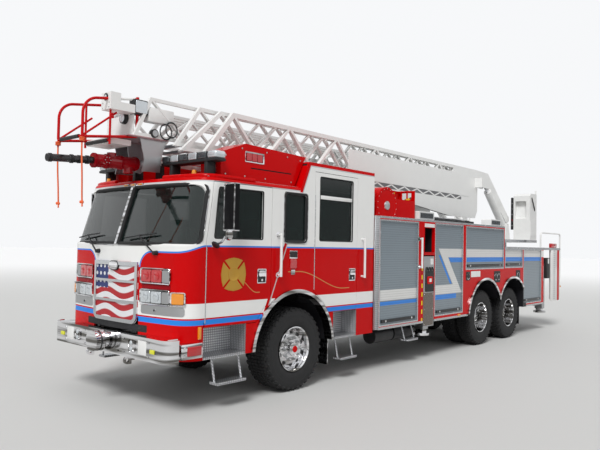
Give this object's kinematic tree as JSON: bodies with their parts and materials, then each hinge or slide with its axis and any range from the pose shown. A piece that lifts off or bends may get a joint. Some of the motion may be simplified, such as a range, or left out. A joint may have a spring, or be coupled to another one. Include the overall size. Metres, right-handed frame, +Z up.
{
  "type": "fire engine with rear-mounted aerial ladder",
  "caption": "Fire engine with a crew cab, shuttered side lockers, twin rear axles, stabilizers, and a trussed telescoping ladder on a rear turntable.",
  "frame": {"origin": "on the ground, in the middle of the vehicle's length and width", "axes": "+Z up, -Y forwards, +X to the vehicle's left"},
  "size_m": [2.98, 12.7023, 3.612],
  "materials": {
    "red": "gloss",
    "white": "gloss",
    "black_metal": "satin",
    "cast": "matt",
    "tyre": "matt",
    "stainless": "brushed",
    "chrome": "polished",
    "aluminium": "satin",
    "glass": "clear",
    "seat_cloth": "woven",
    "dark_plastic": "grained",
    "rope": "braided"
  },
  "bodies": {
    "chassis": {"frame_rails": "black_metal", "tanks": "black_metal", "light_bars": "black_metal", "ladder_cradle": "black_metal", "front_axle": "cast", "rear_axles": "cast", "engine": "cast", "cab_shell": "red", "body_shell": "red", "roof_boxes": "red", "hose_reel": "red", "windshield": "glass", "cab_glass": "glass", "grille": "chrome", "lamp_bezels": "chrome", "front_bumper": "chrome", "fenders": "chrome", "cab_steps": "aluminium", "roll_up_doors": "aluminium", "seats": "seat_cloth", "dashboard": "dark_plastic", "scene_lamps": "white", "access_ladder": "white", "handrails": "white"},
    "knuckle_left": {"knuckle_left": "cast"},
    "front_wheel_left": {"front_wheel_left": "tyre"},
    "rear_wheel_1_left": {"rear_wheel_1_left": "tyre"},
    "rear_wheel_2_left": {"rear_wheel_2_left": "tyre"},
    "front_door_left": {"front_door_left": "red", "front_door_glass_left": "glass"},
    "crew_door_left": {"crew_door_left": "red", "crew_door_glass_left": "glass"},
    "knuckle_right": {"knuckle_right": "cast"},
    "front_wheel_right": {"front_wheel_right": "tyre"},
    "rear_wheel_1_right": {"rear_wheel_1_right": "tyre"},
    "rear_wheel_2_right": {"rear_wheel_2_right": "tyre"},
    "front_door_right": {"front_door_right": "red", "front_door_glass_right": "glass"},
    "crew_door_right": {"crew_door_right": "red", "crew_door_glass_right": "glass"},
    "turntable": {"turntable": "aluminium", "console": "white"},
    "ladder_base": {"ladder_base": "white"},
    "lift_cylinders": {"lift_cylinders": "white"},
    "lift_rods": {"lift_rods": "chrome"},
    "ladder_lower_mid": {"ladder_lower_mid": "white"},
    "ladder_upper_mid": {"ladder_upper_mid": "white"},
    "ladder_fly": {"ladder_fly": "white", "ladder_tip": "red", "monitor": "black_metal", "guide_rope_left": "rope", "guide_rope_right": "rope"},
    "stabilizer_beam_front_left": {"stabilizer_beam_front_left": "stainless"},
    "stabilizer_leg_front_left": {"stabilizer_leg_front_left": "chrome"},
    "stabilizer_beam_front_right": {"stabilizer_beam_front_right": "stainless"},
    "stabilizer_leg_front_right": {"stabilizer_leg_front_right": "chrome"},
    "stabilizer_beam_rear_left": {"stabilizer_beam_rear_left": "stainless"},
    "stabilizer_leg_rear_left": {"stabilizer_leg_rear_left": "chrome"},
    "stabilizer_beam_rear_right": {"stabilizer_beam_rear_right": "stainless"},
    "stabilizer_leg_rear_right": {"stabilizer_leg_rear_right": "chrome"}
  },
  "joints": [
    {"name": "steer_left", "type": "hinge", "parent": "chassis", "child": "knuckle_left", "pos_m": [0.9, -3.524, 0.537], "axis": [0, 0, 1], "range_deg": [-35, 35]},
    {"name": "front_wheel_spin_left", "type": "hinge", "parent": "knuckle_left", "child": "front_wheel_left", "pos_m": [1, -3.524, 0.537], "axis": [1, 0, 0], "continuous": true},
    {"name": "rear_wheel_1_spin_left", "type": "hinge", "parent": "chassis", "child": "rear_wheel_1_left", "pos_m": [0.86, 1.98, 0.537], "axis": [1, 0, 0], "continuous": true},
    {"name": "rear_wheel_2_spin_left", "type": "hinge", "parent": "chassis", "child": "rear_wheel_2_left", "pos_m": [0.86, 3.32, 0.537], "axis": [1, 0, 0], "continuous": true},
    {"name": "front_door_swing_left", "type": "hinge", "parent": "chassis", "child": "front_door_left", "pos_m": [1.22, -5.095, 1.6], "axis": [0, 0, -1], "range_deg": [0, 80]},
    {"name": "crew_door_swing_left", "type": "hinge", "parent": "chassis", "child": "crew_door_left", "pos_m": [1.22, -3.235, 1.6], "axis": [0, 0, -1], "range_deg": [0, 80]},
    {"name": "steer_right", "type": "hinge", "parent": "chassis", "child": "knuckle_right", "pos_m": [-0.9, -3.524, 0.537], "axis": [0, 0, 1], "range_deg": [-35, 35]},
    {"name": "front_wheel_spin_right", "type": "hinge", "parent": "knuckle_right", "child": "front_wheel_right", "pos_m": [-1, -3.524, 0.537], "axis": [1, 0, 0], "continuous": true},
    {"name": "rear_wheel_1_spin_right", "type": "hinge", "parent": "chassis", "child": "rear_wheel_1_right", "pos_m": [-0.86, 1.98, 0.537], "axis": [1, 0, 0], "continuous": true},
    {"name": "rear_wheel_2_spin_right", "type": "hinge", "parent": "chassis", "child": "rear_wheel_2_right", "pos_m": [-0.86, 3.32, 0.537], "axis": [1, 0, 0], "continuous": true},
    {"name": "front_door_swing_right", "type": "hinge", "parent": "chassis", "child": "front_door_right", "pos_m": [-1.22, -5.095, 1.6], "axis": [0, 0, 1], "range_deg": [0, 80]},
    {"name": "crew_door_swing_right", "type": "hinge", "parent": "chassis", "child": "crew_door_right", "pos_m": [-1.22, -3.235, 1.6], "axis": [0, 0, 1], "range_deg": [0, 80]},
    {"name": "turntable_turn", "type": "hinge", "parent": "chassis", "child": "turntable", "pos_m": [0, 4.4, 2.048], "axis": [0, 0, 1], "continuous": true},
    {"name": "ladder_raise", "type": "hinge", "parent": "turntable", "child": "ladder_base", "pos_m": [0, 4.56, 2.6], "axis": [-1, 0, 0], "range_deg": [0, 75]},
    {"name": "cylinder_swing", "type": "hinge", "parent": "turntable", "child": "lift_cylinders", "pos_m": [0, 4.1, 2.4], "axis": [-1, 0, 0], "range_deg": [0, 74]},
    {"name": "rod_slide", "type": "slide", "parent": "lift_cylinders", "child": "lift_rods", "axis": [0, -0.7507, 0.6606], "range_m": [0, 0.62]},
    {"name": "lower_mid_slide", "type": "slide", "parent": "ladder_base", "child": "ladder_lower_mid", "axis": [0, -1, 0], "range_m": [0, 6.6]},
    {"name": "upper_mid_slide", "type": "slide", "parent": "ladder_lower_mid", "child": "ladder_upper_mid", "axis": [0, -1, 0], "range_m": [0, 6.6]},
    {"name": "fly_slide", "type": "slide", "parent": "ladder_upper_mid", "child": "ladder_fly", "axis": [0, -1, 0], "range_m": [0, 6.6]},
    {"name": "stabilizer_out_front_left", "type": "slide", "parent": "chassis", "child": "stabilizer_beam_front_left", "axis": [1, 0, 0], "range_m": [0, 1.2]},
    {"name": "stabilizer_down_front_left", "type": "slide", "parent": "stabilizer_beam_front_left", "child": "stabilizer_leg_front_left", "axis": [0, 0, -1], "range_m": [0, 0.395]},
    {"name": "stabilizer_out_front_right", "type": "slide", "parent": "chassis", "child": "stabilizer_beam_front_right", "axis": [-1, 0, 0], "range_m": [0, 1.2]},
    {"name": "stabilizer_down_front_right", "type": "slide", "parent": "stabilizer_beam_front_right", "child": "stabilizer_leg_front_right", "axis": [0, 0, -1], "range_m": [0, 0.395]},
    {"name": "stabilizer_out_rear_left", "type": "slide", "parent": "chassis", "child": "stabilizer_beam_rear_left", "axis": [1, 0, 0], "range_m": [0, 1.2]},
    {"name": "stabilizer_down_rear_left", "type": "slide", "parent": "stabilizer_beam_rear_left", "child": "stabilizer_leg_rear_left", "axis": [0, 0, -1], "range_m": [0, 0.395]},
    {"name": "stabilizer_out_rear_right", "type": "slide", "parent": "chassis", "child": "stabilizer_beam_rear_right", "axis": [-1, 0, 0], "range_m": [0, 1.2]},
    {"name": "stabilizer_down_rear_right", "type": "slide", "parent": "stabilizer_beam_rear_right", "child": "stabilizer_leg_rear_right", "axis": [0, 0, -1], "range_m": [0, 0.395]}
  ],
  "couplings": [
    {"joint": "steer_right", "follows": "steer_left", "ratio": 1},
    {"joint": "cylinder_swing", "follows": "ladder_raise", "ratio": 0.975},
    {"joint": "rod_slide", "follows": "ladder_raise", "m_per_rad": 0.465},
    {"joint": "upper_mid_slide", "follows": "lower_mid_slide", "ratio": 1},
    {"joint": "fly_slide", "follows": "lower_mid_slide", "ratio": 1}
  ]
}
